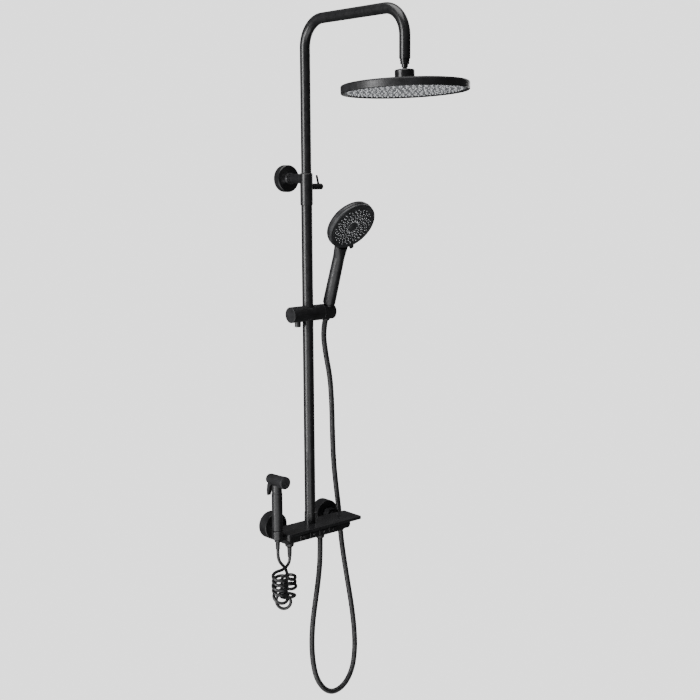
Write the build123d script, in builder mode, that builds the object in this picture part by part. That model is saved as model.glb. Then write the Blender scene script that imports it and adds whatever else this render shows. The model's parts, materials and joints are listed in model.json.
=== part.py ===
from build123d import *
import math
import os

# Wall-mounted rainfall shower column, in millimetres.
# Origin: on the wall plane, midway between the two water inlets.
# +X to the right as seen from the room, -Y out into the room, +Z up.

os.makedirs("parts", exist_ok=True)

# ---- driving dimensions ----
inlet_pitch = 150.0
inlet_x = inlet_pitch / 2
thread_r = 10.48            # G1/2 male thread, outside
thread_length = 12.0
fit_gap = 0.05              # radial clearance of a running fit
loose_gap = 0.3             # radial clearance between covers that only pass each other

riser_x, riser_y = -19.0, -76.0
lower_tube_r, lower_bore_r = 12.0, 11.2
upper_tube_r, upper_bore_r = 11.0, 9.8
lower_tube_bottom, lower_tube_top = -6.0, 774.0
upper_tube_bottom = 470.0
arm_z = 1098.0
arm_reach = 302.0
arm_bend_r = 56.0
arm_end_z = arm_z - 99.0

shelf_left, shelf_right = -113.5, 99.0
shelf_back, shelf_front = -55.0, -117.5
shelf_top, shelf_thick = 9.0, 6.5
shelf_under = shelf_top - shelf_thick
shelf_seam_x = 80.0
block_left, block_right = -98.0, 47.0
cap_left = shelf_left + 1.5
block_bottom, block_back = -20.0, -60.0
fascia_front, fascia_back, block_front = -116.0, -104.2, -104.0
fascia_bottom = -12.5
bevel_y, bevel_z = -93.0, -15.6     # the block's front lower edge is cut back along this bevel
fascia_skin = 1.8                   # thickness of the fascia under the block

key_width, key_height, key_pitch = 24.0, 10.6, 27.0
key_first_x, key_z = -68.0, -4.6
knob_r, knob_y, knob_z = 13.0, -78.0, -11.6
knob_left, knob_right = 48.6, 88.0
hand_outlet_x, bidet_outlet_x = 9.0, -79.0

collar_r, collar_bottom, collar_top = 13.6, 714.0, 781.0
flange_z, flange_r, flange_depth = 770.5, 29.3, 15.6
lock_z, lock_r, lock_left, lock_right = 753.5, 6.6, -5.2, 24.0

slider_z, slider_r = 480.6, 17.3
slider_left, slider_seam, slider_right = -68.5, 19.0, 50.0
button_x, button_r = -47.5, 6.8
hand_x, hand_lean = 36.0, 18.4
face_drop = 34.7            # how far the hand shower's face looks below the horizontal

head_r, head_thick = 124.5, 16.2
ball_z = 964.5
head_tilt = 2.8
ball_to_face = 28.8         # ball centre to the rain head's underside

sprayer_x, sprayer_y = -130.0, -100.0
grip_r = 11.75

# ---- helpers ----


def frame_at(origin, z_dir, x_dir=(1, 0, 0)):
    """A plane whose normal is a part's own axis."""
    return Plane(origin, x_dir=x_dir, z_dir=z_dir)


def section_of(frame):
    """The plane through a frame's axis: sketch x is the radius, sketch y runs along the axis."""
    return Plane(frame.origin, x_dir=frame.x_dir, z_dir=-frame.y_dir)


def spin(frame, outline, mode=Mode.ADD):
    """Turn an outline of (radius, height) points about the frame's axis, in the open part."""
    with BuildSketch(section_of(frame)) as half_section:
        with BuildLine():
            Polyline(*outline, close=True)
        make_face()
    revolve(half_section.sketch, axis=Axis(frame.origin, frame.z_dir), mode=mode)


def turned(frame, *outlines):
    """A part made of turned bodies on one axis."""
    with BuildPart() as piece:
        for outline in outlines:
            spin(frame, outline)
    return piece


def tube_outline(outer, inner, low, high, edge=0.0):
    """A pipe's half section, with an optional chamfer on its outer edges."""
    if edge:
        return [(inner, low), (outer - edge, low), (outer, low + edge),
                (outer, high - edge), (outer - edge, high), (inner, high)]
    return [(inner, low), (outer, low), (outer, high), (inner, high)]


def box_between(x, y, z, mode=Mode.ADD):
    """A box from three (low, high) spans, in the open part."""
    with BuildSketch(Plane(((x[0] + x[1]) / 2, (y[0] + y[1]) / 2, z[0]))) as footprint:
        Rectangle(x[1] - x[0], y[1] - y[0])
    extrude(footprint.sketch, amount=z[1] - z[0], mode=mode)


def save(piece, name):
    """Label a finished part and write it."""
    piece.part.label = name
    export_step(piece.part, f"parts/{name}.step")


def corner_radii(route):
    """Arc radius at each corner of a cord's route: 0.45 of the shorter run over tan(half turn)."""
    radii = []
    for before, corner, after in zip(route, route[1:], route[2:]):
        run_in = Vector(*corner) - Vector(*before)
        run_out = Vector(*after) - Vector(*corner)
        half_turn = math.radians(run_in.get_angle(run_out)) / 2
        radii.append(0.45 * min(run_in.length, run_out.length) / math.tan(half_turn))
    return radii


def cord(name, route, radius):
    """A cord's tube along straight runs joined by tangent arcs."""
    radii = corner_radii(route)
    with BuildPart() as tube:
        with BuildLine() as path:
            FilletPolyline(*route, radius=radii)
        with BuildSketch(Plane(route[0], z_dir=Vector(*route[1]) - Vector(*route[0]))):
            Circle(radius)
        sweep(path=path.line)
    length = path.wire().length
    print(name, "length", round(length), "least radius", round(min(radii)),
          "volume ratio", round(tube.part.volume / (math.pi * radius ** 2 * length), 4))
    save(tube, name)


up = Vector(0, 0, 1)
riser_frame = frame_at((riser_x, riser_y, 0), up)

# ---- mixer body: inlet manifold, valve block and their bores ----
manifold_y, manifold_z = (-62.0, -46.0), (-13.0, shelf_under)
cartridge_bore_r, cartridge_depth = 7.8, 30.5
key_bore_r, key_bore_depth = 4.6, 12.0
key_xs = [key_first_x + i * key_pitch for i in range(4)]
stub_r, stub_flange_r, stub_end = 8.0, 10.0, -38.4

with BuildPart() as mixer_body:
    box_between((-88, 88), manifold_y, manifold_z)
    with BuildSketch(Plane.YZ.offset(block_left)):
        with BuildLine():
            Polyline((block_front, shelf_under), (block_front, bevel_z), (bevel_y, block_bottom),
                     (block_back, block_bottom), (block_back, shelf_under), close=True)
        make_face()
    extrude(amount=block_right - block_left)
    for side in (-1, 1):
        inlet = frame_at((side * inlet_x, 0, 0), (0, -1, 0))
        spin(inlet, [(0, 47), (0, -stub_end), (stub_flange_r, -stub_end),
                     (stub_flange_r, 2 - stub_end), (stub_r, 2 - stub_end), (stub_r, 47)])
        spin(inlet, [(0, 30), (5.5, 30), (5.5, 56), (0, 56)], mode=Mode.SUBTRACT)
    spin(riser_frame, [(0, lower_tube_bottom), (lower_tube_r, lower_tube_bottom),
                       (lower_tube_r, 10), (0, 10)], mode=Mode.SUBTRACT)
    knob_frame = frame_at((block_right, knob_y, knob_z), (1, 0, 0), x_dir=(0, 1, 0))
    spin(knob_frame, [(0, -cartridge_depth), (cartridge_bore_r, -cartridge_depth),
                      (cartridge_bore_r, 1), (0, 1)], mode=Mode.SUBTRACT)
    for x in key_xs:
        spin(frame_at((x, fascia_back, key_z), (0, -1, 0)),
             [(0, -key_bore_depth), (key_bore_r, -key_bore_depth), (key_bore_r, 1), (0, 1)],
             mode=Mode.SUBTRACT)
    for x in (hand_outlet_x, bidet_outlet_x):
        spin(frame_at((x, riser_y, 0), up),
             [(0, block_bottom - 1), (6.0, block_bottom - 1), (6.0, -10), (0, -10)], mode=Mode.SUBTRACT)
save(mixer_body, "mixer_body")

# ---- front fascia: a channel over the block's front, with one window for each key ----
with BuildPart() as front_fascia:
    with BuildSketch(Plane.YZ.offset(block_left)):
        with BuildLine():
            Polyline((fascia_back, shelf_under), (fascia_front, shelf_under), (fascia_front, -9.8),
                     (fascia_front + 2.5, fascia_bottom), (bevel_y, block_bottom - fascia_skin),
                     (block_back, block_bottom - fascia_skin), (block_back, block_bottom),
                     (bevel_y, block_bottom), (fascia_back, bevel_z - 0.1), close=True)
        make_face()
    extrude(amount=block_right - block_left)
    for x in key_xs:
        box_between((x - key_width / 2 - 0.35, x + key_width / 2 + 0.35), (-118, fascia_back + 0.1),
                    (key_z - key_height / 2 - 0.35, key_z + key_height / 2 + 0.35), mode=Mode.SUBTRACT)
    for x in (hand_outlet_x, bidet_outlet_x):
        spin(frame_at((x, riser_y, 0), up), [(0, -24), (10.4, -24), (10.4, -19), (0, -19)],
             mode=Mode.SUBTRACT)
save(front_fascia, "front_fascia")

# ---- left end cap: closes the block, its outer face sloping in under the shelf ----
with BuildPart() as left_end_cap:
    with BuildSketch(Plane.XZ.offset(-shelf_back + 5)):
        with BuildLine():
            Polyline((block_left, shelf_under), (cap_left, shelf_under), (cap_left, -4.5),
                     (block_left - 3, fascia_bottom), (block_left, fascia_bottom), close=True)
        make_face()
    extrude(amount=-fascia_front + shelf_back - 5)
    fillet(left_end_cap.faces().sort_by(Axis.Y)[0].edges().sort_by(Axis.X)[0], radius=6)
save(left_end_cap, "left_end_cap")

# ---- shelf: a flat top plate and its separate right end ----


def shelf_piece(left, right, outer_corner_side):
    with BuildPart() as plate:
        box_between((left, right), (shelf_front, shelf_back), (shelf_under, shelf_top))
        ends = plate.edges().filter_by(Axis.Z).sort_by(Axis.X)
        fillet(ends[:2] if outer_corner_side < 0 else ends[-2:], radius=5)
        chamfer(plate.faces().sort_by(Axis.Z)[-1].edges(), length=0.5)
    return plate


with BuildPart() as shelf_plate:
    add(shelf_piece(shelf_left, shelf_seam_x, -1).part)
    spin(riser_frame, [(0, 0), (13.2, 0), (13.2, 12), (0, 12)], mode=Mode.SUBTRACT)
save(shelf_plate, "shelf_plate")
save(shelf_piece(shelf_seam_x + 0.2, shelf_right, 1), "shelf_end")

# ---- inside the block: mixing cartridge and four key valves ----
stem_r = 3.4
save(turned(knob_frame, [(0, -30), (7.7, -30), (7.7, -0.2), (stem_r + loose_gap, -0.2),
                         (stem_r + loose_gap, -12), (0, -12)]), "mixing_cartridge")

plunger_r = 2.4
with BuildPart() as key_valves:
    for x in key_xs:
        valve = frame_at((x, fascia_back, key_z), (0, -1, 0))
        spin(valve, [(plunger_r + loose_gap, -10.5), (0, -10.5), (0, -11.9), (key_bore_r - 0.1, -11.9),
                     (key_bore_r - 0.1, -0.4), (plunger_r + loose_gap, -0.4)])
save(key_valves, "key_valves")

# ---- push keys on the front: an icon-free slab with a plunger behind ----
key_names = ["rain_key", "hand_key", "sprayer_key", "stop_key"]
for name, x in zip(key_names, key_xs):
    with BuildPart() as key:
        box_between((x - key_width / 2, x + key_width / 2), (fascia_front - 1.4, -109.5),
                    (key_z - key_height / 2, key_z + key_height / 2))
        fillet(key.faces().sort_by(Axis.Y)[0].edges(), radius=0.9)
        spin(frame_at((x, -109.8, key_z), (0, 1, 0)), [(0, 0), (plunger_r, 0), (plunger_r, 12), (0, 12)])
    save(key, name)

# ---- temperature knob under the shelf's right end ----
with BuildPart() as temperature_knob:
    knob_length = knob_right - block_right
    spin(knob_frame, [(0, knob_left - block_right), (knob_r - 0.8, knob_left - block_right),
                      (knob_r, knob_left - block_right + 0.8), (knob_r, knob_length - 1.2),
                      (knob_r - 1.2, knob_length), (0, knob_length)])
    spin(knob_frame, [(0, -10), (stem_r, -10), (stem_r, 2), (0, 2)])
    flutes = 24
    for i in range(flutes):
        turn = 2 * math.pi * i / flutes
        groove = (knob_right - 14, knob_y + knob_r * math.cos(turn), knob_z + knob_r * math.sin(turn))
        spin(frame_at(groove, (1, 0, 0), x_dir=(0, 1, 0)), [(0, 0), (0.6, 0), (0.6, 11), (0, 11)],
             mode=Mode.SUBTRACT)
save(temperature_knob, "temperature_knob")

# ---- water inlets: eccentric connector, escutcheon, union nut and filter washer ----
escutcheon_r, escutcheon_depth = 30.5, 24.5
for name, side in (("left", -1), ("right", 1)):
    inlet = frame_at((side * inlet_x, 0, 0), (0, -1, 0))
    save(turned(inlet, [(6, -thread_length), (thread_r, -thread_length), (thread_r, 0), (12, 0), (12, 20),
                        (9.9, 20), (9.9, 36), (6, 36)]), f"{name}_inlet_connector")
    save(turned(inlet, [(escutcheon_r, 0.2), (escutcheon_r, escutcheon_depth - 1),
                        (escutcheon_r - 1, escutcheon_depth), (12.4, escutcheon_depth),
                        (12.4, escutcheon_depth - 1.6), (escutcheon_r - 1.6, escutcheon_depth - 1.6),
                        (escutcheon_r - 1.6, 0.2)]), f"{name}_escutcheon")

nut_flats = 26.0
with BuildPart() as union_nuts:
    for side in (-1, 1):
        with BuildSketch(frame_at((side * inlet_x, -26, 0), (0, -1, 0))):
            RegularPolygon(nut_flats / 2, 6, major_radius=False)
        extrude(amount=16)
        inlet = frame_at((side * inlet_x, 0, 0), (0, -1, 0))
        spin(inlet, [(0, 25), (10.1, 25), (10.1, 40.4), (stub_r + 0.2, 40.4), (stub_r + 0.2, 43), (0, 43)],
             mode=Mode.SUBTRACT)
        spin(inlet, [(14.4, 26), (16, 26), (16, 27.6)], mode=Mode.SUBTRACT)
        spin(inlet, [(14.4, 42), (16, 42), (16, 40.4)], mode=Mode.SUBTRACT)
save(union_nuts, "union_nuts")

with BuildPart() as inlet_filters:
    for side in (-1, 1):
        spin(frame_at((side * inlet_x, 0, 0), (0, -1, 0)), [(0, 36.2), (9.6, 36.2), (9.6, 38.2), (0, 38.2)])
save(inlet_filters, "inlet_filters")

# ---- lower riser: socket and fixed tube ----
socket_outline = tube_outline(13.0, lower_tube_r + 0.02, shelf_under + 0.2, 34, 0.8)
save(turned(riser_frame, socket_outline), "riser_socket")
lock_frame = frame_at((riser_x, riser_y, lock_z), (1, 0, 0), x_dir=(0, 1, 0))
with BuildPart() as lower_riser_tube:
    spin(riser_frame, tube_outline(lower_tube_r, lower_bore_r, lower_tube_bottom, lower_tube_top))
    spin(lock_frame, [(0, 10), (3.3, 10), (3.3, 14), (0, 14)], mode=Mode.SUBTRACT)
save(lower_riser_tube, "lower_riser_tube")

# ---- upper bracket: collar with its stem, wall plate, cover and grub screw ----
stem_y_end = -9.0
stem_frame = frame_at((riser_x, 0, flange_z), (0, -1, 0))
with BuildPart() as upper_collar:
    spin(riser_frame, [(0, collar_bottom), (collar_r - 1.5, collar_bottom), (collar_r, collar_bottom + 1.5),
                       (collar_r, collar_top - 0.8), (collar_r - 0.8, collar_top), (0, collar_top)])
    spin(stem_frame, [(0, -stem_y_end), (9.0, -stem_y_end), (9.0, 26), (10.2, 26), (10.2, 28.5), (9.0, 28.5),
                      (9.0, 30), (10.2, 30), (10.2, 68), (0, 68)])
    spin(riser_frame, [(0, collar_bottom - 1), (lower_tube_r + 0.02, collar_bottom - 1),
                       (lower_tube_r + 0.02, lower_tube_top), (upper_tube_r + loose_gap, lower_tube_top),
                       (upper_tube_r + loose_gap, collar_top + 1), (0, collar_top + 1)], mode=Mode.SUBTRACT)
    spin(lock_frame, [(0, 10), (3.3, 10), (3.3, 16), (0, 16)], mode=Mode.SUBTRACT)
save(upper_collar, "upper_collar")
save(turned(riser_frame, tube_outline(collar_r - 0.6, upper_tube_r + 0.2, collar_top, collar_top + 1.4, 0.4)),
     "collar_seal")

wall_screw_r, wall_screw_pitch = 2.3, 32.0
screw_frame = frame_at((riser_x, -20, flange_z), (-1, 0, 0), x_dir=(0, 1, 0))
with BuildPart() as wall_plate:
    spin(stem_frame, [(0, 0), (24, 0), (24, 3), (12.2, 3), (12.2, 24), (9.05, 24), (9.05, 8.6), (0, 8.6)])
    for side in (-1, 1):
        spin(frame_at((riser_x + side * wall_screw_pitch / 2, 0, flange_z), (0, -1, 0)),
             [(0, -1), (wall_screw_r, -1), (wall_screw_r, 4), (0, 4)], mode=Mode.SUBTRACT)
    spin(screw_frame, [(0, 8), (2.0, 8), (2.0, 14), (0, 14)], mode=Mode.SUBTRACT)
save(wall_plate, "wall_plate")
save(turned(stem_frame, [(flange_r, 0.2), (flange_r, flange_depth - 1.5), (flange_r - 1.5, flange_depth),
                         (12.5, flange_depth), (12.5, flange_depth - 1.6), (flange_r - 1.8, flange_depth - 1.6),
                         (flange_r - 1.8, 0.2)]), "flange_cover")
save(turned(screw_frame, [(0, 9.1), (1.9, 9.1), (1.9, 12.6), (1.0, 12.6), (1.0, 11), (0, 11)]),
     "flange_grub_screw")

# ---- lift lock on the collar: a barrel turned by a pin ----
lock_start, lock_end = lock_left - riser_x, lock_right - riser_x
with BuildPart() as lock_barrel:
    spin(lock_frame, [(0, 11.4), (3.0, 11.4), (3.0, lock_start), (lock_r, lock_start),
                      (lock_r, lock_end - 2.2), (lock_r - 0.7, lock_end - 0.7), (lock_r - 2.4, lock_end),
                      (0, lock_end)])
    groove_start = lock_start + 6
    spin(lock_frame, [(lock_r - 0.4, groove_start), (lock_r + 1, groove_start),
                      (lock_r + 1, groove_start + 1), (lock_r - 0.4, groove_start + 1)], mode=Mode.SUBTRACT)
save(lock_barrel, "lock_barrel")
pin_lean = math.radians(17)
pin_frame = frame_at((15.5, riser_y, lock_z), (0, math.sin(pin_lean), math.cos(pin_lean)))
save(turned(pin_frame, [(0, lock_r), (2.4, lock_r), (2.4, 24), (1.7, 25.4), (0, 25.8)]), "lock_pin")

# ---- rising, swivelling gooseneck ----
bush_outline = tube_outline(lower_bore_r - fit_gap, 8.8, upper_tube_bottom - 18, upper_tube_bottom, 0.3)
save(turned(riser_frame, bush_outline), "riser_guide_bush")
neck_x, neck_y = riser_x, riser_y - arm_reach
with BuildPart() as gooseneck_tube:
    with BuildLine() as neck_path:
        FilletPolyline((riser_x, riser_y, upper_tube_bottom), (riser_x, riser_y, arm_z),
                       (neck_x, neck_y, arm_z), (neck_x, neck_y, arm_end_z), radius=arm_bend_r)
    with BuildSketch(Plane.XY.offset(upper_tube_bottom)):
        with Locations((riser_x, riser_y)):
            Circle(upper_tube_r)
            Circle(upper_bore_r, mode=Mode.SUBTRACT)
    sweep(path=neck_path.line)
save(gooseneck_tube, "gooseneck_tube")

drop_frame = frame_at((neck_x, neck_y, ball_z), up)
drop_end = arm_end_z - ball_z
nut_bottom = 24.0
with BuildPart() as arm_end_nut:
    spin(drop_frame, tube_outline(9.9, 5.2, drop_end - 1.4, drop_end))
    spin(drop_frame, tube_outline(9.4, 5.2, nut_bottom + 4.8, drop_end - 2.0, 0.4))
    spin(drop_frame, tube_outline(8.4, 5.2, nut_bottom + 4.0, drop_end - 1.4))
    spin(drop_frame, tube_outline(9.0, 5.2, nut_bottom, nut_bottom + 4.0, 0.5))
save(arm_end_nut, "arm_end_nut")
ball_r = 8.0
with BuildPart() as ball_stud:
    spin(drop_frame, [(0, 4), (4.6, 4), (4.6, 17.4), (6.4, 18.2), (6.4, nut_bottom - 0.1),
                      (5.1, nut_bottom - 0.1), (5.1, drop_end - 0.5), (0, drop_end - 0.5)])
    with Locations(drop_frame.location):
        Sphere(ball_r)
    spin(drop_frame, [(0, -9), (2.2, -9), (2.2, drop_end + 1), (0, drop_end + 1)], mode=Mode.SUBTRACT)
save(ball_stud, "ball_stud")

# ---- rain head, hung on the ball with a slight tilt ----
tilt = math.radians(head_tilt)
head_frame = frame_at((neck_x, neck_y, ball_z), (0, math.sin(tilt), math.cos(tilt)))
seat_r, socket_r = 11.0, 11.3
with BuildPart() as ball_seat:
    with Locations(head_frame.location):
        Sphere(seat_r)
        Sphere(ball_r + loose_gap, mode=Mode.SUBTRACT)
    spin(head_frame, [(0, 5), (14, 5), (14, 14), (0, 14)], mode=Mode.SUBTRACT)
    spin(head_frame, [(0, -5), (14, -5), (14, -14), (0, -14)], mode=Mode.SUBTRACT)
    for side in (-1, 1):
        spin(frame_at(head_frame.origin, (side, 0, 0), x_dir=(0, 1, 0)),
             [(0, seat_r - 1.5), (1.2, seat_r - 1.5), (1.2, seat_r + 0.12), (0, seat_r + 0.12)])
save(ball_seat, "ball_seat")

face_s = -ball_to_face
disc_top = face_s + head_thick
hub_top = 14.5
with BuildPart() as rain_head_hub:
    spin(head_frame, [(0, disc_top), (19.2, disc_top), (19.2, hub_top - 3), (18.2, hub_top - 1), (13, hub_top),
                      (0, hub_top)])
    with Locations(head_frame.location):
        Sphere(socket_r, mode=Mode.SUBTRACT)
    spin(head_frame, [(0, 4), (8.4, 4), (9.6, hub_top + 1), (0, hub_top + 1)], mode=Mode.SUBTRACT)
    spin(head_frame, [(0, disc_top - 1), (3, disc_top - 1), (3, -8), (0, -8)], mode=Mode.SUBTRACT)
save(rain_head_hub, "rain_head_hub")

face_r, mat_r = 118.0, 116.0
with BuildPart() as rain_head_shell:
    spin(head_frame, [(0, disc_top), (head_r - 3, disc_top), (head_r - 0.9, disc_top - 0.9),
                      (head_r, disc_top - 3), (head_r, face_s + 1), (head_r - 1, face_s), (face_r + 3, face_s),
                      (face_r + 0.3, face_s + 2.6), (face_r + 0.3, disc_top - 3), (0, disc_top - 3)])
    spin(head_frame, [(0, disc_top - 4), (4, disc_top - 4), (4, disc_top + 1), (0, disc_top + 1)],
         mode=Mode.SUBTRACT)
save(rain_head_shell, "rain_head_shell")

face_bottom = face_s + 3.0
nozzle_rings = [(22, 6), (42, 12), (62, 18), (82, 24), (102, 30)]


def nozzle_places(frame, height):
    """Centres of the nozzles on concentric rings, at a height along the frame's axis."""
    for ring_r, count in nozzle_rings:
        for i in range(count):
            turn = 2 * math.pi * i / count
            yield frame.from_local_coords(Vector(ring_r * math.cos(turn), ring_r * math.sin(turn), height))


with BuildPart() as rain_head_face:
    spin(head_frame, [(0, face_bottom), (face_r, face_bottom), (face_r, face_bottom + 2), (0, face_bottom + 2)])
    for place in nozzle_places(head_frame, face_bottom):
        with BuildSketch(frame_at(place, head_frame.z_dir)):
            Circle(1.7)
        extrude(amount=2, mode=Mode.SUBTRACT)
save(rain_head_face, "rain_head_face")

with BuildPart() as rain_nozzle_mat:
    spin(head_frame, [(0, face_bottom + 2), (mat_r, face_bottom + 2), (mat_r, face_bottom + 3.4),
                      (0, face_bottom + 3.4)])
    for place in nozzle_places(head_frame, face_bottom - 1.6):
        with BuildSketch(frame_at(place, head_frame.z_dir)):
            Circle(1.5)
        extrude(amount=3.8)
save(rain_nozzle_mat, "rain_nozzle_mat")

# ---- sliding hand-shower holder ----
slide_frame = frame_at((0, riser_y, slider_z), (1, 0, 0), x_dir=(0, 1, 0))
bush_r = 13.6
with BuildPart() as slider_body:
    spin(slide_frame, [(0, slider_left + 1.6), (slider_r, slider_left + 1.6), (slider_r, slider_seam - 0.3),
                       (0, slider_seam - 0.3)])
    spin(frame_at((riser_x, riser_y, slider_z), up), [(0, -20), (bush_r, -20), (bush_r, 20), (0, 20)],
         mode=Mode.SUBTRACT)
    spin(frame_at((button_x, riser_y, slider_z), up), [(0, -20), (button_r + 0.3, -20), (button_r + 0.3, -4),
                                                       (0, -4)], mode=Mode.SUBTRACT)
    spin(slide_frame, [(0, slider_seam - 9), (5.3, slider_seam - 9), (5.3, slider_seam), (0, slider_seam)],
         mode=Mode.SUBTRACT)
save(slider_body, "slider_body")
with BuildPart() as slider_bush:
    spin(frame_at((riser_x, riser_y, slider_z), up),
         tube_outline(bush_r - 0.02, lower_tube_r + fit_gap, -13, 13))
save(slider_bush, "slider_bush")
save(turned(slide_frame, [(0, slider_left), (slider_r - 1.2, slider_left), (slider_r, slider_left + 1.2),
                          (slider_r, slider_left + 1.6), (0, slider_left + 1.6)]), "slider_end_cap")
save(turned(frame_at((button_x, riser_y, slider_z), up),
            [(0, -8), (button_r, -8), (button_r, -26.4), (button_r - 1.2, -27.6), (0, -27.6)]), "slider_button")

lean = math.radians(hand_lean)
hand_axis = Vector(0, -math.sin(lean), math.cos(lean))
hand_frame = frame_at((hand_x, riser_y, slider_z), hand_axis)
cone_top_r, cone_bottom_r = 11.2, 9.2
with BuildPart() as cradle:
    spin(slide_frame, [(0, slider_seam), (slider_r, slider_seam), (slider_r, slider_right - 1.5),
                       (slider_r - 1.5, slider_right), (0, slider_right)])
    spin(slide_frame, [(0, slider_seam - 8), (5.0, slider_seam - 8), (5.0, slider_seam + 1),
                       (0, slider_seam + 1)])
    spin(hand_frame, [(0, -30), (cone_bottom_r - 0.6, -30), (cone_top_r + 1.4, 26), (0, 26)],
         mode=Mode.SUBTRACT)
save(cradle, "cradle")

# ---- hand shower: handle and head in one shell, turning spray disc, nozzles, hose nut ----
face_angle = math.radians(face_drop)
face_normal = Vector(0, -math.cos(face_angle), -math.sin(face_angle))
face_up = Vector(0, -math.sin(face_angle), math.cos(face_angle))
face_centre = Vector(hand_x, -163.5, 668.5)
face_frame = frame_at(face_centre, -face_normal)
hand_head_r, handle_r = 57.3, 12.9
handle_foot, handle_top = 18.6, 128.0

with BuildPart() as hand_shower_shell:
    spin(hand_frame, [(0, handle_foot), (12.6, handle_foot), (13.9, handle_foot + 1.6),
                      (13.9, handle_foot + 12), (handle_r, handle_top), (0, handle_top)])
    spin(hand_frame, [(0, 0), (cone_bottom_r + 1.0, 0), (cone_top_r, handle_foot), (0, handle_foot)])
    with BuildSketch(frame_at(hand_frame.from_local_coords(Vector(0, 0, handle_top)), hand_axis)):
        Circle(handle_r)
    with BuildSketch(frame_at(face_centre - face_up * 36 - face_normal * 13.5, face_up)):
        Ellipse(22, 8)
    loft()
    spin(face_frame, [(0, 5.4), (hand_head_r - 1.0, 5.4), (hand_head_r, 6.4), (hand_head_r, 11),
                      (hand_head_r - 1.6, 16), (hand_head_r - 6, 19.6), (hand_head_r - 16, 22), (30, 23.4),
                      (0, 24)])
    spin(face_frame, [(0, -30), (hand_head_r + 0.5, -30), (hand_head_r + 0.5, 5.35), (14, 5.35), (14, 9), (0, 9)],
         mode=Mode.SUBTRACT)
save(hand_shower_shell, "hand_shower_shell")
save(turned(hand_frame, [(4.5, -19), (8.4, -19), (9.0, -18.2), (cone_bottom_r + 0.7, 0), (4.5, 0)]),
     "hand_hose_nut")

tab_turn = math.radians(66)
with BuildPart() as spray_disc:
    spin(face_frame, [(0, 0.8), (44, 0.6), (52, 0), (hand_head_r - 2.6, 0), (hand_head_r - 0.6, 1.4),
                      (hand_head_r - 0.6, 5.0), (0, 5.0)])
    spin(face_frame, [(0, 4), (13.6, 4), (13.6, 8.4), (0, 8.4)])
    tab_at = Vector(math.cos(tab_turn), math.sin(tab_turn), 0)
    tab_frame = frame_at(face_frame.from_local_coords(tab_at * (hand_head_r - 3)),
                         face_frame.z_dir, x_dir=face_frame.from_local_coords(tab_at) - face_centre)
    with BuildSketch(tab_frame.offset(0.4)):
        with Locations((5, 0)):
            RectangleRounded(10, 9, radius=2)
    extrude(amount=4.4)
save(spray_disc, "spray_disc")

with BuildPart() as spray_nozzles:
    for ring_r, count in ((13, 12), (21, 16), (30, 20), (38, 24)):
        for i in range(count):
            turn = 2 * math.pi * i / count
            place = face_frame.from_local_coords(Vector(ring_r * math.cos(turn), ring_r * math.sin(turn), -0.8))
            with BuildSketch(frame_at(place, face_frame.z_dir)):
                Circle(1.1)
            extrude(amount=1.8)
    spin(face_frame, [(0, 0.8), (44, 0.6), (50, 0.12), (50, 4), (0, 4)], mode=Mode.SUBTRACT)
save(spray_nozzles, "spray_nozzles")

# ---- hose outlets under the block ----
hand_nut_end, bidet_nut_end, ferrule_end = -33.0, -32.0, -57.0
for name, x in (("hand", hand_outlet_x), ("bidet", bidet_outlet_x)):
    save(turned(frame_at((x, riser_y, 0), up),
                [(3.6, -28), (7.2, -28), (7.2, -22.6), (9.8, -22.6), (9.8, -20.2), (5.9, -20.2), (5.9, -12),
                 (3.6, -12)]), f"{name}_outlet_nipple")
save(turned(frame_at((hand_outlet_x, riser_y, 0), up),
            [(0, hand_nut_end), (7.2, hand_nut_end), (9.2, hand_nut_end + 2.4), (9.6, -23), (7.3, -23),
             (7.3, -28.2), (0, -28.2)]), "hand_hose_lower_nut")
save(turned(frame_at((bidet_outlet_x, riser_y, 0), up),
            [(0, ferrule_end), (4.4, ferrule_end), (5.4, -35), (8.8, bidet_nut_end), (9.8, bidet_nut_end + 1.4),
             (9.8, -23), (7.3, -23), (7.3, -28.2), (0, -28.2)]), "bidet_hose_nut")

# ---- bidet sprayer on its holder ----
sprayer_frame = frame_at((sprayer_x, sprayer_y, 0), up)
grip_bottom, groove_z = 22.0, 103.5
with BuildPart() as bidet_holder:
    spin(sprayer_frame, [(0, 1), (11.2, 1), (12.4, 2.2), (12.4, 19.5), (11.6, 20.3), (0, 20.3)])
    box_between((sprayer_x + 8, cap_left), (sprayer_y - 5, sprayer_y + 5), (-4, shelf_under - 0.4))
    spin(sprayer_frame, [(0, -1), (9.2, -1), (9.8, 21.3), (0, 21.3)], mode=Mode.SUBTRACT)
save(bidet_holder, "bidet_holder")

head_front, head_back, head_z = -131.0, -71.5, 131.0
head_length = head_back - head_front
spray_axis = frame_at((sprayer_x, head_front, head_z), (0, 1, 0))
trigger_pivot_y, trigger_pivot_z = -79.0, 123.0
with BuildPart() as sprayer_body:
    spin(sprayer_frame, [(0, 3), (8.6, 3), (9.3, 20.3), (9.3, 20.8), (10.8, 20.8), (grip_r, grip_bottom),
                         (grip_r, groove_z - 0.8), (grip_r - 1, groove_z), (grip_r - 1, groove_z + 1),
                         (grip_r - 0.6, groove_z + 2), (10.4, 122), (0, 126)])
    spin(spray_axis, [(0, 1.5), (13.4, 1.5), (13.6, 4), (12.4, 22), (11.6, head_length - 8),
                      (10.2, head_length - 3), (7.0, head_length), (0, head_length)])
    box_between((sprayer_x - 4.3, sprayer_x + 4.3), (-88, -60), (100, 125.8), mode=Mode.SUBTRACT)
    spin(frame_at((sprayer_x, trigger_pivot_y, trigger_pivot_z), (1, 0, 0), x_dir=(0, 1, 0)),
         [(0, -8.2), (1.25, -8.2), (1.25, 8.2), (0, 8.2)], mode=Mode.SUBTRACT)
save(sprayer_body, "sprayer_body")
save(turned(spray_axis, [(0, 0), (11.4, 0), (13.4, 0.9), (13.4, 1.5), (0, 1.5)]), "sprayer_nozzle")
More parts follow.
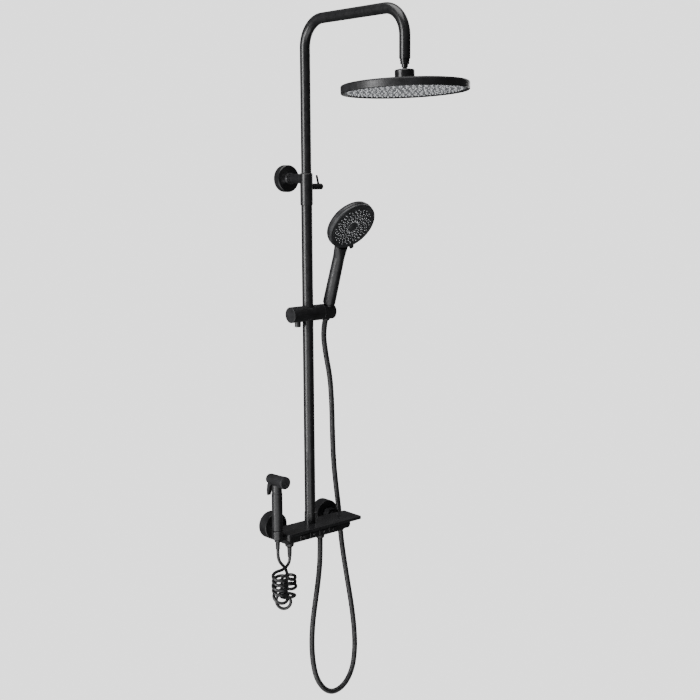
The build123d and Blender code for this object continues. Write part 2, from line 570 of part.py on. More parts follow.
save(turned(sprayer_frame, [(0, -22), (4.4, -22), (5.0, -6), (7.0, -4.6), (7.4, 3), (0, 3)]),
     "sprayer_hose_nut")

trigger_gap = 0.35
with BuildPart() as sprayer_trigger:
    with BuildSketch(Plane.YZ.offset(sprayer_x - 4.3 + trigger_gap)):
        with BuildLine():
            Polyline((-83.5, 125.2), (-76, 125.2), (-70.5, 117), (-68.5, 104), (-69.5, 94), (-73, 93.5),
                     (-77, 104), (-81, 116), (-85, 121), close=True)
        make_face()
    extrude(amount=8.6 - 2 * trigger_gap)
    spin(frame_at((sprayer_x, trigger_pivot_y, trigger_pivot_z), (1, 0, 0), x_dir=(0, 1, 0)),
         [(0, -6), (1.3, -6), (1.3, 6), (0, 6)], mode=Mode.SUBTRACT)
save(sprayer_trigger, "sprayer_trigger")
save(turned(frame_at((sprayer_x, trigger_pivot_y, trigger_pivot_z), (1, 0, 0), x_dir=(0, 1, 0)),
            [(0, -8.1), (1.25, -8.1), (1.25, 8.1), (0, 8.1)]), "trigger_pin")

# ---- shower hose: from its lower nut, round a low loop, up behind the shelf to the handle ----
hose_r = 6.25
shower_hose_route = [
    (9, -76, -33), (9, -76, -78), (4, -75, -128), (-5, -74, -180), (-12.5, -72, -232), (-14, -70, -284),
    (-9, -68, -330), (3, -66, -373), (29, -64, -409), (60, -62, -424), (95, -60, -415), (120, -58, -385),
    (130, -56, -340), (131, -53, -290), (126, -50, -234), (117, -47.5, -176), (107.5, -45, -116),
    (101, -41, -56), (99, -38, 2), (89, -40, 62), (77.5, -45, 124), (70.5, -50, 190), (66, -54, 260),
    (60.5, -55.5, 326), (48, -54.5, 384),
    tuple(hand_frame.from_local_coords(Vector(0, 0, -48))),
    tuple(hand_frame.from_local_coords(Vector(0, 0, -19))),
]
cord("shower_hose", shower_hose_route, hose_r)

# ---- bidet hose: two plain ends and the doubled-over curly stretch between them ----
curl_r, curly_cord_r = 19.4, 3.25
outlet_end_route = [(-79, -76, ferrule_end), (-79, -76, -64), (-82.5, -76.4, -72), (-90, -77.4, -77.5),
                    (-98.5, -79, -79.5), (-106.5, -81.2, -80.5)]
cord("bidet_hose_outlet_end", outlet_end_route, curly_cord_r)
sprayer_end_route = [(-130, -100, -22), (-130, -100, -32), (-128.4, -99.4, -43), (-123, -97.6, -54),
                     (-114, -95, -63), (-105.5, -92, -71.5), (-98.5, -88.8, -82), (-94, -86, -94),
                     (-92, -84, -100)]
cord("bidet_hose_sprayer_end", sprayer_end_route, curly_cord_r)

front_x, front_y, front_top = -121.5, -95.0, -81.0
back_x, back_y, back_top = -82.5, -75.5, -98.0
bundle_turn_z = -129.0
half_gap = Vector(back_x - front_x, back_y - front_y, 0).length / 2
with BuildPart() as bidet_hose_coil:
    with BuildLine() as bundle_path:
        Line((front_x, front_y, front_top), (front_x, front_y, bundle_turn_z))
        middle = ((front_x + back_x) / 2, (front_y + back_y) / 2, bundle_turn_z - half_gap)
        ThreePointArc((front_x, front_y, bundle_turn_z), middle, (back_x, back_y, bundle_turn_z))
        Line((back_x, back_y, bundle_turn_z), (back_x, back_y, back_top))
    with BuildSketch(Plane((front_x, front_y, front_top), z_dir=(0, 0, -1))):
        Circle(curl_r)
    sweep(path=bundle_path.line)
save(bidet_hose_coil, "bidet_hose_coil")
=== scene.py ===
import json
import math

import bmesh
import bpy
from mathutils import Matrix, Vector


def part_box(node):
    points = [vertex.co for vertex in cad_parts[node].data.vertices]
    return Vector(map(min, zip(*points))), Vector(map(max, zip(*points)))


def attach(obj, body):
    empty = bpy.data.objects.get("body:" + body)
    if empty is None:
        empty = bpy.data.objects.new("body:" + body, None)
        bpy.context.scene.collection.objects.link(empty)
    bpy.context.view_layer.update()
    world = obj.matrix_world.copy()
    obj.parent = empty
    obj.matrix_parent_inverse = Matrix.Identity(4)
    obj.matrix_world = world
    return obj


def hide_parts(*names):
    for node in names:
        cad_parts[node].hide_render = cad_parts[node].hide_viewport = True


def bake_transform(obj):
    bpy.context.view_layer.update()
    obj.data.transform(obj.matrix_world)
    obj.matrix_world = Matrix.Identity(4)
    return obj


# Wall-mounted rainfall shower column, in metres. +X right, -Y out of the wall, +Z up.
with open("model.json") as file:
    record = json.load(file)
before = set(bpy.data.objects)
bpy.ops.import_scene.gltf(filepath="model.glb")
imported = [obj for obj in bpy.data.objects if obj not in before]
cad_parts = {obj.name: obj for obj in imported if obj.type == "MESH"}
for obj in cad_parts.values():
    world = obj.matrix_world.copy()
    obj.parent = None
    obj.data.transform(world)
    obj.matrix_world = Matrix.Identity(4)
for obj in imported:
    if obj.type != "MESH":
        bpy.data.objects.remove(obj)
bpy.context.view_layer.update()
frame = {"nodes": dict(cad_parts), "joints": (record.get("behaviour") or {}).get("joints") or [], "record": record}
nodes = frame["nodes"]
scene = bpy.context.scene
mm = 0.001

# ---- camera ----
camera_place = Vector((-1.6011, -2.0166, 0.7915))
camera_azimuth, camera_pitch, camera_roll = (math.radians(a) for a in (-41.275, 8.909, -0.332))
camera_lens, sensor_width = 59.55, 36    # both in mm


def looking_from(azimuth, elevation):
    """Rotation of a camera that looks at the object from an azimuth and an elevation."""
    back = Vector((math.sin(azimuth) * math.cos(elevation),
                   -math.cos(azimuth) * math.cos(elevation), math.sin(elevation)))
    right = Vector((math.cos(azimuth), math.sin(azimuth), 0))
    return Matrix((right, back.cross(right), back)).transposed()


camera = bpy.data.objects.new("camera", bpy.data.cameras.new("camera"))
camera.data.lens = camera_lens
camera.data.sensor_width = sensor_width
camera_turn = looking_from(camera_azimuth, camera_pitch) @ Matrix.Rotation(camera_roll, 3, "Z")
camera.matrix_world = Matrix.Translation(camera_place) @ camera_turn.to_4x4()
scene.collection.objects.link(camera)
scene.camera = camera

# ---- mesh helpers ----


def add_piece(name, mesh, material=None, smooth=True):
    """A new object with a mesh, linked to the scene."""
    piece = bpy.data.objects.new(name, mesh)
    scene.collection.objects.link(piece)
    if material:
        mesh.materials.append(material)
    for face in mesh.polygons:
        face.use_smooth = smooth
    return piece


def mesh_of(name, build):
    """A mesh made by a function that fills a bmesh."""
    made = bmesh.new()
    build(made)
    bmesh.ops.recalc_face_normals(made, faces=made.faces)
    mesh = bpy.data.meshes.new(name)
    made.to_mesh(mesh)
    made.free()
    return mesh


def axis_frame(origin, z_dir, x_hint=(1, 0, 0)):
    """A matrix whose Z axis is a part's own axis."""
    z = Vector(z_dir).normalized()
    x = (Vector(x_hint) - z * z.dot(Vector(x_hint))).normalized()
    turn = Matrix((x, z.cross(x), z)).transposed()
    return Matrix.Translation(Vector(origin)) @ turn.to_4x4()


def lathe(made, place, outline, segments=24):
    """A shape turned about a frame's Z axis from (radius, height) points.

    The outline starts and ends on the axis, or comes back to its first point.
    """
    turns = [2 * math.pi * i / segments for i in range(segments)]
    rings = []
    for radius, height in outline:
        ring_turns = turns if radius else [0]
        corners = [Vector((radius * math.cos(turn), radius * math.sin(turn), height)) for turn in ring_turns]
        rings.append([made.verts.new(place @ corner) for corner in corners])
    for low, high in zip(rings, rings[1:]):
        for i in range(segments):
            j = (i + 1) % segments
            corners = [low[i % len(low)], low[j % len(low)], high[j % len(high)], high[i % len(high)]]
            made.faces.new(list(dict.fromkeys(corners)))


def outline_mm(points):
    """An outline given in millimetres, in metres."""
    return [(radius * mm, height * mm) for radius, height in points]


# ---- cords ----


def spline_points(route, steps):
    """Points along the smooth NURBS spline that has the route as its control points."""
    curve = bpy.data.curves.new("route", "CURVE")
    curve.dimensions = "3D"
    spline = curve.splines.new("NURBS")
    spline.points.add(len(route) - 1)
    for point, place in zip(spline.points, route):
        point.co = (*place, 1)
    spline.order_u = 3
    spline.use_endpoint_u = True
    curve.resolution_u = steps
    holder = bpy.data.objects.new("route", curve)
    line = bpy.data.meshes.new_from_object(holder)
    points = [v.co.copy() for v in line.vertices]
    bpy.data.objects.remove(holder)
    bpy.data.curves.remove(curve)
    bpy.data.meshes.remove(line)
    return points


def distances(points):
    """How far along the line each point is."""
    along = [0.0]
    for before, after in zip(points, points[1:]):
        along.append(along[-1] + (after - before).length)
    return along


def tube_mesh(name, points, radius_at, segments=16):
    """A tube along points; radius_at gives its radius at a distance along them."""
    along = distances(points)

    def build(made):
        normal = (points[1] - points[0]).orthogonal().normalized()
        rings = []
        for i, point in enumerate(points):
            tangent = (points[min(i + 1, len(points) - 1)] - points[max(i - 1, 0)]).normalized()
            normal = (normal - tangent * normal.dot(tangent)).normalized()
            side = tangent.cross(normal)
            radius = radius_at(along[i])
            rings.append([made.verts.new(point + radius * (math.cos(turn) * normal + math.sin(turn) * side))
                          for turn in (2 * math.pi * k / segments for k in range(segments))])
        for low, high in zip(rings, rings[1:]):
            for k in range(segments):
                made.faces.new((low[k], low[(k + 1) % segments], high[(k + 1) % segments], high[k]))
        made.faces.new(rings[0])
        made.faces.new(rings[-1])

    return mesh_of(name, build)


def metres(route):
    """A route given in millimetres, in metres."""
    return [Vector(point) * mm for point in route]


def nearest_index(points, place):
    """Which of the points is nearest to a place."""
    return min(range(len(points)), key=lambda i: (points[i] - Vector(place)).length)


# the shower hose: from its lower nut, round a low loop, up behind the shelf to the handle
hose_diameter = 12.5 * mm
rib_pitch, rib_depth = 3.2 * mm, 0.85 * mm
groove_share = 0.22    # half a groove's width, as a share of the pitch
hose_steps = 128
shower_hose_route = metres([
    (9, -76, -33), (9, -76, -78), (4, -75, -128), (-5, -74, -180), (-12.5, -72, -232), (-14, -70, -284),
    (-9, -68, -330), (3, -66, -373), (29, -64, -409), (60, -62, -424), (95, -60, -415), (120, -58, -385),
    (130, -56, -340), (131, -53, -290), (126, -50, -234), (117, -47.5, -176), (107.5, -45, -116),
    (101, -41, -56), (99, -38, 2), (89, -40, 62), (77.5, -45, 124), (70.5, -50, 190), (66, -54, 260),
    (60.5, -55.5, 326), (48, -54.5, 384), (36, -60.85, 435.05), (36, -70.0, 462.6),
])
hose_joint = Vector((57, -55.2, 342)) * mm
hose_exit, hose_end = shower_hose_route[0], shower_hose_route[-1]
sleeve_start, sleeve_proud = 0.12, 0.12 * mm    # share of the last run, and height over the hose


def rib_radius(start, proud=0.0):
    """Round ribs with narrow grooves between them, in step along the whole hose."""
    def radius_at(distance):
        phase = ((start + distance) / rib_pitch) % 1
        groove = max(0.0, 1 - abs(phase - 0.5) / groove_share)
        return hose_diameter / 2 + proud - rib_depth * groove
    return radius_at


hose_line = spline_points(shower_hose_route, hose_steps)
hose_along = distances(hose_line)
joint_index = nearest_index(hose_line, hose_joint)
sleeve_index = nearest_index(hose_line, shower_hose_route[-2].lerp(hose_end, sleeve_start))
lower_line, upper_line = hose_line[:joint_index + 1], hose_line[joint_index:]
sleeve_line = hose_line[sleeve_index:]
shower_hose = add_piece("ribbed_shower_hose", tube_mesh("ribbed_shower_hose", lower_line, rib_radius(0)))
shower_hose_top = add_piece("ribbed_shower_hose_top", tube_mesh(
    "ribbed_shower_hose_top", upper_line, rib_radius(hose_along[joint_index])))
shower_hose_end = add_piece("ribbed_shower_hose_end", tube_mesh(
    "ribbed_shower_hose_end", sleeve_line, rib_radius(hose_along[sleeve_index], sleeve_proud)))
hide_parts("shower_hose")
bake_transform(shower_hose)
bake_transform(shower_hose_top)
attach(shower_hose_end, "hand_shower")

# the bidet hose: out of its nut, down a curly column, round, up a second one and up to the sprayer
curly_diameter = 7.0 * mm
curl_radius, curl_variation = 15.6 * mm, 0.07
slow_wave, fast_wave, wave_lag = 0.7, 1.9, 1    # how the curl's radius changes from turn to turn
lean_way, turn_lean = Vector((-0.66, -0.75, 0)), 0.22    # the turns hang lower on the side towards the room
bidet_outlet_route = metres([(-79, -76, -57), (-79, -76, -64), (-82.5, -76.4, -72), (-90, -77.4, -77.5),
                             (-98.5, -79, -79.5), (-106.5, -81.2, -80.5)])
sprayer_route = metres([(-92, -84, -100), (-94, -86, -94), (-98.5, -88.8, -82), (-105.5, -92, -71.5),
                        (-114, -95, -63), (-123, -97.6, -54), (-128.4, -99.4, -43), (-130, -100, -32),
                        (-130, -100, -22)])
front_axis, back_axis = Vector((-121.5, -95, 0)) * mm, Vector((-82.5, -75.5, 0)) * mm
front_top, back_top, turn_height = -83 * mm, -101 * mm, -129 * mm
front_turns, bend_turns, back_turns = 4.2, 3.0, 2.713
first_turn = math.radians(73.9)
points_per_turn = 12
curly_steps, curly_sides = 8, 14


def curly_points():
    """Helix control points round the doubled-over bundle's own axis."""
    across = (back_axis - front_axis).normalized()
    flat = Vector((-across.y, across.x, 0))
    half_gap = (back_axis - front_axis).length / 2
    middle = (front_axis + back_axis) / 2
    down, up = Vector((0, 0, -1)), Vector((0, 0, 1))
    turns = front_turns + bend_turns + back_turns
    count = round(turns * points_per_turn)
    for i in range(1, count):
        turn = turns * i / count
        if turn < front_turns:
            share = turn / front_turns
            centre = front_axis + up * (front_top + (turn_height - front_top) * share)
            heading = down
        elif turn < front_turns + bend_turns:
            angle = math.pi * (turn - front_turns) / bend_turns
            centre = (middle + up * turn_height
                      + half_gap * (down * math.sin(angle) - across * math.cos(angle)))
            heading = down * math.cos(angle) + across * math.sin(angle)
        else:
            share = (turn - front_turns - bend_turns) / back_turns
            centre = back_axis + up * (turn_height + (back_top - turn_height) * share)
            heading = up
        phase = first_turn - 2 * math.pi * turn
        wave = math.sin(fast_wave * turn) * math.cos(slow_wave * turn + wave_lag)
        radius = curl_radius * (1 + curl_variation * wave)
        reach = radius * (math.cos(phase) * flat + math.sin(phase) * heading.cross(flat))
        yield centre + reach + down * turn_lean * reach.dot(lean_way)


def curly_radius(distance):
    """The curly hose is smooth, so its radius is the same everywhere."""
    return curly_diameter / 2


curly_line = spline_points(bidet_outlet_route + list(curly_points()) + sprayer_route, curly_steps)
tail_index = nearest_index(curly_line, sprayer_route[1])
coil_line, tail_line = curly_line[:tail_index + 1], curly_line[tail_index:]
curly_hose = add_piece("curly_bidet_hose", tube_mesh(
    "curly_bidet_hose", coil_line, curly_radius, curly_sides))
curly_tail = add_piece("curly_bidet_hose_tail", tube_mesh(
    "curly_bidet_hose_tail", tail_line, curly_radius, curly_sides))
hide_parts("bidet_hose_outlet_end", "bidet_hose_coil")
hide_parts("bidet_hose_sprayer_end")
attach(curly_hose, "root")
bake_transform(curly_tail)

# ---- materials ----


def new_finish(name):
    """A material with its node tree, shader and object coordinates."""
    material = bpy.data.materials.new(name)
    material.use_nodes = True
    tree = material.node_tree
    place = tree.nodes.new("ShaderNodeTexCoord").outputs["Object"]
    return material, tree, tree.nodes["Principled BSDF"], place


def noise(tree, place, feature, detail=2.0, stretch=(1, 1, 1)):
    """Noise with features of a real size; stretch lengthens them along an axis."""
    mapping = tree.nodes.new("ShaderNodeMapping")
    mapping.inputs["Scale"].default_value = [1 / s for s in stretch]
    texture = tree.nodes.new("ShaderNodeTexNoise")
    texture.inputs["Scale"].default_value = 1 / feature
    texture.inputs["Detail"].default_value = detail
    tree.links.new(place, mapping.inputs["Vector"])
    tree.links.new(mapping.outputs["Vector"], texture.inputs["Vector"])
    return texture.outputs["Fac"]


def spread(tree, value, low, high, out_low, out_high):
    """Maps part of a value's range to another range."""
    node = tree.nodes.new("ShaderNodeMapRange")
    for socket, number in zip(("From Min", "From Max", "To Min", "To Max"), (low, high, out_low, out_high)):
        node.inputs[socket].default_value = number
    tree.links.new(value, node.inputs["Value"])
    return node.outputs["Result"]


def two_tone(tree, value, dark, light):
    """A colour between two tones, by a value."""
    ramp = tree.nodes.new("ShaderNodeValToRGB")
    ramp.color_ramp.elements[0].color = (*dark, 1)
    ramp.color_ramp.elements[1].color = (*light, 1)
    tree.links.new(value, ramp.inputs["Fac"])
    return ramp.outputs["Color"]


def add_bump(tree, shader, height, distance, strength=1.0):
    """Bump of a real height, stacked on any bump already there."""
    bump = tree.nodes.new("ShaderNodeBump")
    bump.inputs["Strength"].default_value = strength
    bump.inputs["Distance"].default_value = distance
    tree.links.new(height, bump.inputs["Height"])
    if shader.inputs["Normal"].links:
        tree.links.new(shader.inputs["Normal"].links[0].from_socket, bump.inputs["Normal"])
    tree.links.new(bump.outputs["Normal"], shader.inputs["Normal"])


drift_size, haze_size, wave_size = 18 * mm, 5 * mm, 9 * mm
wave_height, wave_strength = 0.02 * mm, 0.4
coat_roughness = 0.18


def moulded(name, dark, light, gloss, grain, grain_height, metallic=0.0, specular=0.5, coat=0.0):
    """A finish with slow colour drift, a hazy uneven gloss, a fine grain and a faint waviness."""
    material, tree, shader, place = new_finish(name)
    shader.inputs["Metallic"].default_value = metallic
    shader.inputs["Specular IOR Level"].default_value = specular
    shader.inputs["Coat Weight"].default_value = coat
    shader.inputs["Coat Roughness"].default_value = coat_roughness
    drift = spread(tree, noise(tree, place, drift_size, 3), 0.35, 0.65, 0, 1)
    tree.links.new(two_tone(tree, drift, dark, light), shader.inputs["Base Color"])
    haze = noise(tree, place, haze_size, 4)
    tree.links.new(spread(tree, haze, 0.3, 0.7, *gloss), shader.inputs["Roughness"])
    add_bump(tree, shader, noise(tree, place, grain, 3), grain_height)
    add_bump(tree, shader, noise(tree, place, wave_size, 1), wave_height, wave_strength)
    return material


def add_marks(material, feature, detail, stretch, height):
    """Fine stretched marks, such as brushing or turning, on top of a finish."""
    tree = material.node_tree
    place = tree.nodes["Texture Coordinate"].outputs["Object"]
    add_bump(tree, tree.nodes["Principled BSDF"], noise(tree, place, feature, detail, stretch), height)
    return material


def satin_black():
    """Powder coat on brass and steel: a fine orange peel with a soft sheen."""
    return moulded("satin_black", (0.009, 0.009, 0.010), (0.016, 0.016, 0.017), (0.26, 0.40), 0.7 * mm,
                   0.012 * mm)


def shelf_black():
    """The shelf's smoother coat, with faint long rubbing marks."""
    material = moulded("shelf_black", (0.014, 0.014, 0.015), (0.024, 0.024, 0.026), (0.24, 0.36), 0.5 * mm,
                       0.008 * mm)
    return add_marks(material, 0.8 * mm, 2, (30, 1, 1), 0.004 * mm)


def black_plastic():
    return moulded("black_plastic", (0.012, 0.012, 0.013), (0.021, 0.021, 0.023), (0.34, 0.48), 0.35 * mm,
                   0.010 * mm, specular=0.45)


def key_black():
    return moulded("key_black", (0.008, 0.008, 0.009), (0.013, 0.013, 0.014), (0.14, 0.24), 0.4 * mm,
                   0.003 * mm, coat=0.3)


def dark_face():
    return moulded("dark_face", (0.030, 0.031, 0.033), (0.050, 0.051, 0.054), (0.36, 0.5), 0.3 * mm,
                   0.01 * mm)


# painted reflection: the rain head's face plate is dark and glossy, and this mid-grey colour stands in for the
# pale floor reflected at a grazing angle
def grey_face():
    return moulded("grey_face", (0.30, 0.31, 0.33), (0.40, 0.41, 0.43), (0.3, 0.44), 0.5 * mm, 0.01 * mm)


def pale_nozzles():
    """Silicone: soft and a little dusty."""
    material = moulded("pale_nozzles", (0.55, 0.56, 0.58), (0.74, 0.75, 0.77), (0.42, 0.6), 0.25 * mm,
                       0.01 * mm)
    material.node_tree.nodes["Principled BSDF"].inputs["Sheen Weight"].default_value = 0.2
    return material


def seal_rubber():
    return moulded("seal_rubber", (0.018, 0.018, 0.018), (0.034, 0.034, 0.034), (0.55, 0.75), 0.3 * mm,
                   0.015 * mm)


def white_bush():
    return moulded("white_bush", (0.62, 0.61, 0.58), (0.74, 0.73, 0.70), (0.38, 0.52), 0.4 * mm, 0.008 * mm)


def bare_brass():
    """Turned brass, with fine tool marks and some tarnish."""
    material = moulded("bare_brass", (0.42, 0.28, 0.11), (0.66, 0.50, 0.24), (0.24, 0.42), 0.6 * mm,
                       0.006 * mm, metallic=1.0)
    return add_marks(material, 0.5 * mm, 1, (8, 1, 8), 0.005 * mm)


def steel():
    """Brushed stainless steel."""
    material = moulded("steel", (0.42, 0.42, 0.43), (0.60, 0.60, 0.61), (0.22, 0.36), 0.5 * mm,
                       0.004 * mm, metallic=1.0)
    return add_marks(material, 0.3 * mm, 2, (25, 1, 1), 0.004 * mm)


def black_nut():
    return moulded("black_nut", (0.010, 0.010, 0.011), (0.020, 0.020, 0.021), (0.24, 0.38), 0.4 * mm,
                   0.010 * mm)


def black_hose():
    """Black hose skin: satin, with a deeper grain than the other finishes."""
    return moulded("black_hose", (0.011, 0.011, 0.012), (0.026, 0.026, 0.027), (0.30, 0.46), 0.3 * mm,
                   0.02 * mm)


def mark_grey():
    """The faint printed marks on the keys."""
    return moulded("mark_grey", (0.10, 0.10, 0.105), (0.15, 0.15, 0.155), (0.4, 0.55), 0.3 * mm, 0.004 * mm)


finishes = {make.__name__: make() for make in (
    satin_black, shelf_black, black_plastic, key_black, dark_face, grey_face, pale_nozzles, seal_rubber,
    white_bush, bare_brass, steel, black_nut, black_hose, mark_grey)}
for part in frame["record"]["subparts"]:
    node = nodes[part["node"]]
    if not node.material_slots:
        node.data.materials.append(None)
    for slot in node.material_slots:
        slot.link = "OBJECT"
        slot.material = finishes[part["material_slot"]]
for piece in (shower_hose, shower_hose_top, shower_hose_end, curly_hose, curly_tail):
    piece.data.materials.append(finishes["black_hose"])

# ---- rain head: face plate and nozzle mat ----
head_joint = next(joint for joint in frame["joints"] if joint["name"] == "head_tilt")
head_tilt = math.radians(2.8)
ball_to_face = 28.8 * mm
head_centre = Vector(head_joint["pos_m"])
head_up = Vector((0, math.sin(head_tilt), math.cos(head_tilt)))
face_place = axis_frame(head_centre - head_up * ball_to_face, head_up)
face_radius, face_inset, face_thickness = 118 * mm, 3.0 * mm, 2.0 * mm
face_outline = [(0, 0.2), (0.10, 0.2), (0.12, 0), (0.93, 0), (0.95, -0.35), (0.985, -0.35),
                (1, 0.2)]    # share of the radius, and height in mm
ring_count, first_ring, ring_step = 9, 17 * mm, 11.6 * mm
first_count, count_step, ring_lag = 8, 6, 0.21    # nozzles on the first ring, how many more, and the lag
head_nozzle_outline = outline_mm([(0, -0.9), (0.45, -0.9), (0.6, -1.9), (1.15, -1.9), (1.5, -0.9),
                                  (2.3, -0.25), (2.5, 0.3), (0, 0.3)])


def head_nozzle_places():
    """Nozzle centres on rings whose turns lag one another, so that they read as curved arms."""
    for ring in range(ring_count):
        radius = first_ring + ring * ring_step
        count = first_count + count_step * ring
        for i in range(count):
            turn = 2 * math.pi * (i / count) + ring_lag * ring
            yield Vector((radius * math.cos(turn), radius * math.sin(turn), face_inset))


def build_face_plate(made):
    """A thin plate, slightly sunk in the middle, with a low ring near its edge."""
    lower = [(face_radius * share, face_inset + height * mm) for share, height in face_outline]
    top = [(face_radius, face_inset + face_thickness), (0, face_inset + face_thickness)]
    lathe(made, face_place, lower + top, 128)


def build_head_nozzles(made):
    """Soft nozzles with a hollow tip."""
    for place in head_nozzle_places():
        lathe(made, face_place @ Matrix.Translation(place), head_nozzle_outline, 12)


# the face plate's grey is painted reflection of the pale floor, not the dark plate's own colour
face_plate = add_piece("rain_head_face_plate", mesh_of("rain_head_face_plate", build_face_plate),
                       finishes["grey_face"], smooth=False)
head_nozzles = add_piece("rain_head_nozzles", mesh_of("rain_head_nozzles", build_head_nozzles),
                         finishes["pale_nozzles"])
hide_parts("rain_head_face")
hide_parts("rain_nozzle_mat")
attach(face_plate, "rain_head")
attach(head_nozzles, "rain_head")

# ---- hand shower: spray nozzles and centre ring ----
spray_joint = next(joint for joint in frame["joints"] if joint["name"] == "spray_select")
spray_in = -Vector(spray_joint["axis"])
spray_place = axis_frame(spray_joint["pos_m"], spray_in)
spoke_count, short_spoke, long_spoke = 30, (11.5, 15.0), (13.0, 18.5)    # inner and outer radius in mm
spoke_width, spoke_height, spoke_rise, spoke_corner = 0.9 * mm, 1.6 * mm, 0.1 * mm, 0.25 * mm
arm_count, dots_per_arm, arm_lag = 12, 6, 0.17
first_dot, dot_step = 22.5, 4.4    # radii in mm
pair_gap, pair_gap_step, pair_gap_scale = 1.5, 0.35, 1.4
dot_outline = outline_mm([(0, -0.35), (0.35, -0.35), (0.45, -0.95), (0.75, -0.95), (1.05, -0.2),
                          (1.2, 1.2), (0, 1.2)])
dome_outline = outline_mm([(0, -0.9), (4, -0.85), (8.0, -0.3), (9.4, 0.4), (9.4, 1.4), (0, 1.4)])
ring_radii, ring_half = (20.4 * mm, 49.5 * mm), 0.5 * mm
ring_shoulder, ring_base, ring_side, ring_crown = 0.4 * mm, 1.2 * mm, 0.15 * mm, -0.05 * mm


def add_bar(made, place, size, corner, segments, chosen=lambda edge: True):
    """A small bar; chosen says which of its edges are bevelled."""
    shape = bmesh.ops.create_cube(made, size=1, matrix=place @ Matrix.Diagonal((*size, 1)))
    edges = {edge for vert in shape["verts"] for edge in vert.link_edges}
    bmesh.ops.bevel(made, geom=[edge for edge in edges if chosen(edge)],
                    offset=corner, segments=segments, affect="EDGES")


def build_spray_nozzles(made):
    """Short and long slots round the middle, then paired nozzles on curved arms."""
    for i in range(spoke_count):
        turn = Matrix.Rotation(2 * math.pi * i / spoke_count, 4, "Z")
        inner, outer = short_spoke if i % 2 else long_spoke
        bar = spray_place @ turn @ Matrix.Translation((((inner + outer) / 2) * mm, 0, spoke_rise))
        add_bar(made, bar, ((outer - inner) * mm, spoke_width, spoke_height), spoke_corner, 2)
    for arm in range(arm_count):
        for dot in range(dots_per_arm):
            radius = (first_dot + dot_step * dot) * mm
            turn = 2 * math.pi * arm / arm_count + arm_lag * dot
            for side in (-1, 1):
                spot = turn + side * (pair_gap + pair_gap_step * dot) * mm / radius * pair_gap_scale
                across, along = radius * math.cos(spot), radius * math.sin(spot)
                lathe(made, spray_place @ Matrix.Translation((across, along, 0)), dot_outline, 10)


spray_nozzles = add_piece("hand_shower_nozzles", mesh_of("hand_shower_nozzles", build_spray_nozzles),
                          finishes["pale_nozzles"])
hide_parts("spray_nozzles")
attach(spray_nozzles, "spray_selector")


def build_spray_rings(made):
    """A low dome in the middle of the spray disc and two fine raised rings."""
    lathe(made, spray_place, dome_outline, 48)
    for radius in ring_radii:
        lathe(made, spray_place, [(radius - ring_half, ring_base), (radius - ring_shoulder, ring_side),
                                  (radius, ring_crown), (radius + ring_shoulder, ring_side),
                                  (radius + ring_half, ring_base), (radius - ring_half, ring_base)], 96)


spray_rings = add_piece("spray_disc_rings", mesh_of("spray_disc_rings", build_spray_rings),
                        finishes["dark_face"])
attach(spray_rings, "spray_selector")

# ---- slider: dark seam ring between its body and the turning cradle ----
seam_width, seam_depth, seam_edge, seam_crown = 0.9 * mm, 1.2 * mm, 0.02 * mm, 0.25 * mm


def build_seam_ring(made):
    """A low ring, crowned in the middle, on the end of the slider's body."""
    low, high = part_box("slider_body")
    radius = (high.z - low.z) / 2
    place = axis_frame((high.x, (low.y + high.y) / 2, (low.z + high.z) / 2), (1, 0, 0), (0, 1, 0))
    lathe(made, place, [(radius - seam_depth, -seam_width), (radius + seam_edge, -seam_width),
                        (radius + seam_crown, -seam_width / 2), (radius + seam_edge, 0),
                        (radius - seam_depth, 0), (radius - seam_depth, -seam_width)], 64)


seam_ring = add_piece("slider_seam_ring", mesh_of("slider_seam_ring", build_seam_ring),
                      finishes["dark_face"])
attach(seam_ring, "slider")

# ---- key marks: generic spray signs, one for each key ----
# each sign is a few bars: middle across and up, width and height, in mm
key_marks = {
    "rain_key": [(-3, 1.6, 6, 0.9), (-2.2, -0.4, 0.8, 1.6), (0.6, -1.2, 0.8, 1.6), (3.0, -0.4, 0.8, 1.6)],
    "hand_key": [(-1.4, 0.6, 3.0, 3.0), (1.6, -1.6, 3.4, 0.9)],
    "sprayer_key": [(0, 1.8, 4.0, 1.4), (0, -1.0, 1.3, 3.6)],
    "stop_key": [(0, 1.2, 5.0, 0.9), (0, -0.9, 5.0, 0.9)],
}
mark_height, mark_corner = 0.12 * mm, 0.38 * mm


def runs_outward(edge):
    """Whether a mark's edge runs out of the key's face."""
    return abs(edge.verts[0].co.y - edge.verts[1].co.y) > mark_height


def add_key_mark(key, bars):
    """The printed sign on a key's front face."""
    low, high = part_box(key)
    middle = (low + high) / 2

    def build(made):
        for x, z, width, height in bars:
            place = Matrix.Translation((middle.x + x * mm, low.y, middle.z + z * mm))
            add_bar(made, place, (width * mm, 2 * mark_height, height * mm), mark_corner, 3, runs_outward)

    mark = add_piece(f"{key}_mark", mesh_of(f"{key}_mark", build), finishes["mark_grey"], smooth=False)
    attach(mark, key)


for key, bars in key_marks.items():
    add_key_mark(key, bars)

# ---- knurled bands on the two hose nuts under the block ----
knurl_teeth, knurl_lean = 36, 0.12
knurl_rows, columns_per_tooth = 7, 4
knurl_inset, ridge_height, end_fullness = 0.15 * mm, 0.45 * mm, 0.3


def build_knurl(centre, radius, low, high):
    """A band of slanting ridges round a vertical nut."""
    def build(made):
        columns = knurl_teeth * columns_per_tooth
        rings = []
        for row in range(knurl_rows):
            share = row / (knurl_rows - 1)
            rise = ridge_height * math.sin(math.pi * share) ** end_fullness
            ring = []
            for column in range(columns):
                round_turn = 2 * math.pi * (column / columns)
                turn = round_turn + knurl_lean * share
                reach = radius + rise * (0.5 + 0.5 * math.cos(knurl_teeth * round_turn))
                ring.append(made.verts.new((centre.x + reach * math.cos(turn),
                                            centre.y + reach * math.sin(turn), low + (high - low) * share)))
            rings.append(ring)
        for first, second in zip(rings, rings[1:]):
            for column in range(columns):
                following = (column + 1) % columns
                made.faces.new((first[column], first[following], second[following], second[column]))
        made.faces.new(rings[0])
        made.faces.new(rings[-1])
    return build


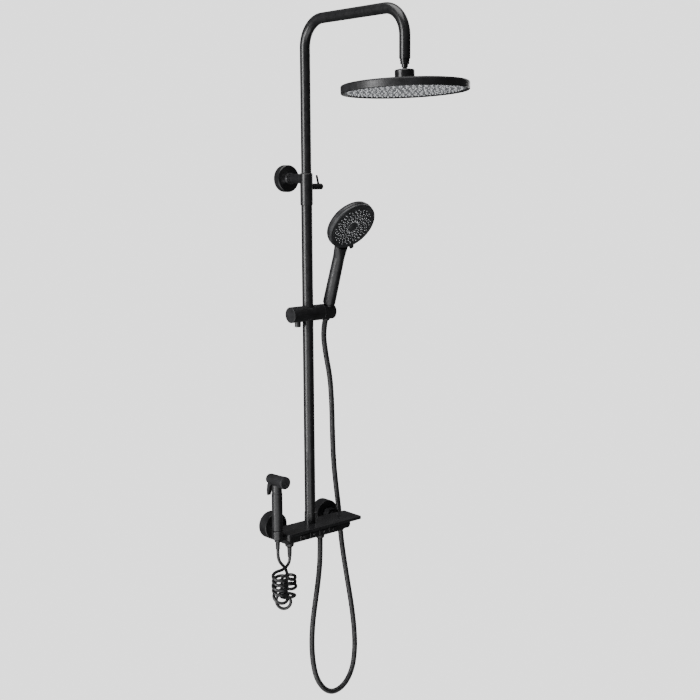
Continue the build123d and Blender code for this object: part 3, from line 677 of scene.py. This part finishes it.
def add_knurl(nut, low_gap, high_gap):
    """A knurled band on a nut, with plain gaps left below and above it."""
    low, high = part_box(nut)
    build = build_knurl((low + high) / 2, (high.x - low.x) / 2 - knurl_inset, low.z + low_gap,
                        high.z - high_gap)
    knurl = add_piece(f"{nut}_knurl", mesh_of(f"{nut}_knurl", build), finishes["black_nut"])
    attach(knurl, "root")


add_knurl("hand_hose_lower_nut", low_gap=3.2 * mm, high_gap=1.2 * mm)
add_knurl("bidet_hose_nut", low_gap=27.4 * mm, high_gap=1.4 * mm)

# ---- floor, light and surroundings ----
floor_height, floor_size = -1.0, 400.0
backdrop_light, surrounding_light = 2.0, 0.075


def floor_finish():
    """Even floor with a soft light of its own and no light of the lamps on it."""
    material, _, shader, _ = new_finish("floor_pale")
    shader.inputs["Base Color"].default_value = (0, 0, 0, 1)
    shader.inputs["Specular IOR Level"].default_value = 0
    shader.inputs["Emission Color"].default_value = (1, 1, 1, 1)
    shader.inputs["Emission Strength"].default_value = backdrop_light
    return material


def build_floor(made):
    """One large square."""
    bmesh.ops.create_grid(made, x_segments=1, y_segments=1, size=floor_size / 2,
                          matrix=Matrix.Translation((0, 0, floor_height)))


floor = add_piece("studio_floor", mesh_of("studio_floor", build_floor), floor_finish())
# the floor is only seen: it gives the object no light and no reflection
floor.visible_diffuse = floor.visible_glossy = False

world = bpy.data.worlds.new("studio")
world.use_nodes = True
scene.world = world
# the camera sees the bright backdrop, and the object is lit by the much weaker one
tree = world.node_tree
seen = tree.nodes["Background"]
seen.inputs["Color"].default_value = (1, 1, 1, 1)
seen.inputs["Strength"].default_value = backdrop_light
around = tree.nodes.new("ShaderNodeBackground")
around.inputs["Color"].default_value = (1, 1, 1, 1)
around.inputs["Strength"].default_value = surrounding_light
choice = tree.nodes.new("ShaderNodeMixShader")
tree.links.new(tree.nodes.new("ShaderNodeLightPath").outputs["Is Camera Ray"], choice.inputs["Fac"])
tree.links.new(around.outputs["Background"], choice.inputs[1])
tree.links.new(seen.outputs["Background"], choice.inputs[2])
tree.links.new(choice.outputs["Shader"], tree.nodes["World Output"].inputs["Surface"])


def soft_light(name, place, target, size, watts):
    """A large soft area light that points at a target."""
    data = bpy.data.lights.new(name, "AREA")
    data.shape = "RECTANGLE"
    data.size, data.size_y = size
    data.energy = watts
    light = bpy.data.objects.new(name, data)
    light.location = place
    light.rotation_euler = (Vector(target) - Vector(place)).to_track_quat("-Z", "Y").to_euler()
    scene.collection.objects.link(light)


middle_height = (0, -0.1, 0.4)
soft_light("left_box", (-3.2, 0.2, 0.6), target=middle_height, size=(1.2, 3.0), watts=150)
soft_light("floor_bounce", (-1.2, -1.2, -0.95), target=(0, -0.3, 0.5), size=(2.4, 2.4), watts=40)
soft_light("top_box", (-0.4, -0.4, 3.4), target=middle_height, size=(2.4, 2.4), watts=95)
soft_light("right_rim", (2.4, 0.6, 1.0), target=middle_height, size=(0.6, 2.6), watts=18)
